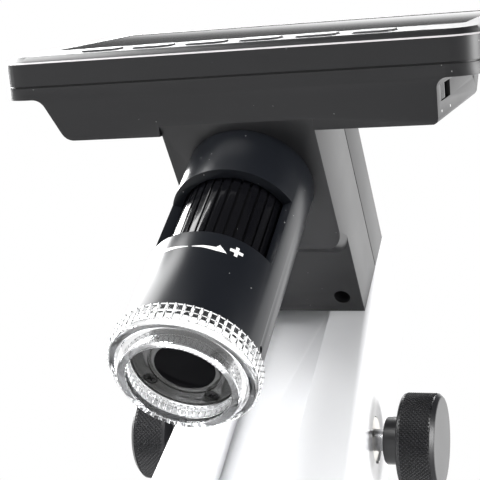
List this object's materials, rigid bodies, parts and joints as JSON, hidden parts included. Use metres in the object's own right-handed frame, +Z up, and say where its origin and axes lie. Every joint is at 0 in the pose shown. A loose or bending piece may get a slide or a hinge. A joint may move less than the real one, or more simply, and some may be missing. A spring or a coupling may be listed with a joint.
{
  "type": "digital microscope",
  "caption": "Desktop digital microscope: tilted display with buttons, focus barrel with clear cap, head sliding on a rack column with side knobs, flat base.",
  "frame": {"origin": "centre of the footprint, on the table under the rubber feet", "axes": "+Z up, +X to the right of the person who looks at the display, +Y away from that person, towards the column"},
  "size_m": [0.13, 0.15, 0.2359],
  "materials": {
    "charcoal_plastic": "fine satin grain",
    "white_plastic": "glossy",
    "grey_plastic": "satin",
    "barrel_black": "satin",
    "ring_black": "glossy",
    "knob_black": "satin anodised, knurled",
    "clear_plastic": "clear",
    "button_plastic": "satin",
    "diffuser_grey": "glossy, grooved",
    "optic_glass": "polished",
    "pane_black": "glossy black",
    "lcd_black": "glossy",
    "board_green": "lacquered",
    "lamp_white": "diffuse",
    "cell_foil": "foil",
    "foam_grey": "soft",
    "switch_black": "satin",
    "screw_steel": "bright",
    "plate_steel": "matt",
    "shaft_steel": "polished",
    "gear_brass": "machined",
    "guide_plastic": "slippery",
    "foot_rubber": "matt",
    "stage_plastic": "matt"
  },
  "bodies": {
    "base": {"base_shell": "white_plastic", "base_plate": "plate_steel", "base_screws": "screw_steel", "column_screws": "screw_steel", "rubber_feet": "foot_rubber", "stage_plate": "stage_plastic", "column_shell": "white_plastic", "column_rear_cover": "white_plastic", "rear_cover_screws": "screw_steel", "lift_guides": "guide_plastic", "guide_screws": "screw_steel", "shaft_bushes": "gear_brass"},
    "head": {"lift_bar": "white_plastic", "lift_rack": "gear_brass", "head_lower": "grey_plastic", "head_upper": "grey_plastic", "head_screws": "screw_steel", "tongue_screws": "screw_steel", "barrel": "barrel_black", "ring_collars": "barrel_black", "barrel_nut": "barrel_black", "light_diffuser": "diffuser_grey", "nose_screws": "screw_steel", "lens_window": "optic_glass", "led_board": "board_green", "led_lamps": "lamp_white", "sensor_board": "board_green", "front_bezel": "charcoal_plastic", "rear_housing": "charcoal_plastic", "display_glass": "pane_black", "lcd_module": "lcd_black", "main_board": "board_green", "battery": "cell_foil", "battery_pad": "foam_grey", "display_pads": "foam_grey", "key_board": "board_green", "key_switches": "switch_black", "key_board_screws": "screw_steel", "housing_screws": "screw_steel", "mount_screws": "screw_steel", "power_switch_body": "switch_black", "usb_socket": "shaft_steel", "card_socket": "shaft_steel"},
    "lift_drive": {"pinion": "gear_brass", "knob_shaft": "shaft_steel", "knob_left": "knob_black", "knob_right": "knob_black"},
    "focus": {"focus_ring": "ring_black"},
    "lens": {"lens_carrier": "barrel_black", "objective_lens": "optic_glass"},
    "cap": {"clear_cap": "clear_plastic"},
    "power_slider": {"power_switch_slider": "switch_black"},
    "key_1": {"button_1": "button_plastic"},
    "key_2": {"button_2": "button_plastic"},
    "key_3": {"button_3": "button_plastic"},
    "key_4": {"button_4": "button_plastic"},
    "key_5": {"button_5": "button_plastic"},
    "key_6": {"button_6": "button_plastic"}
  },
  "joints": [
    {"name": "head_slide", "type": "slide", "parent": "base", "child": "head", "axis": [0, 0, 1], "range_m": [-0.045, 0]},
    {"name": "knob_turn", "type": "hinge", "parent": "base", "child": "lift_drive", "pos_m": [0, 0.0473, 0.132], "axis": [1, 0, 0], "range_deg": [0, 403]},
    {"name": "focus_turn", "type": "hinge", "parent": "head", "child": "focus", "pos_m": [0, -0.025, 0.1294], "axis": [0, 0, 1], "range_deg": [-60, 60]},
    {"name": "lens_slide", "type": "slide", "parent": "head", "child": "lens", "axis": [0, 0, 1], "range_m": [-0.002, 0.002]},
    {"name": "cap_pull", "type": "slide", "parent": "head", "child": "cap", "axis": [0, 0, -1], "range_m": [0, 0.02]},
    {"name": "power_slide", "type": "slide", "parent": "head", "child": "power_slider", "axis": [0, 0.4886, 0.8725], "range_m": [0, 0.0062]},
    {"name": "key_1_press", "type": "slide", "parent": "head", "child": "key_1", "axis": [0, 0.8725, -0.4886], "range_m": [0, 0.0004], "stiffness_N_per_m": 1200, "springref_m": -0.0003},
    {"name": "key_2_press", "type": "slide", "parent": "head", "child": "key_2", "axis": [0, 0.8725, -0.4886], "range_m": [0, 0.0004], "stiffness_N_per_m": 1200, "springref_m": -0.0003},
    {"name": "key_3_press", "type": "slide", "parent": "head", "child": "key_3", "axis": [0, 0.8725, -0.4886], "range_m": [0, 0.0004], "stiffness_N_per_m": 1200, "springref_m": -0.0003},
    {"name": "key_4_press", "type": "slide", "parent": "head", "child": "key_4", "axis": [0, 0.8725, -0.4886], "range_m": [0, 0.0004], "stiffness_N_per_m": 1200, "springref_m": -0.0003},
    {"name": "key_5_press", "type": "slide", "parent": "head", "child": "key_5", "axis": [0, 0.8725, -0.4886], "range_m": [0, 0.0004], "stiffness_N_per_m": 1200, "springref_m": -0.0003},
    {"name": "key_6_press", "type": "slide", "parent": "head", "child": "key_6", "axis": [0, 0.8725, -0.4886], "range_m": [0, 0.0004], "stiffness_N_per_m": 1200, "springref_m": -0.0003}
  ],
  "couplings": [
    {"joint": "knob_turn", "follows": "head_slide", "rad_per_m": -156.25},
    {"joint": "lens_slide", "follows": "focus_turn", "m_per_rad": 0.0019}
  ]
}
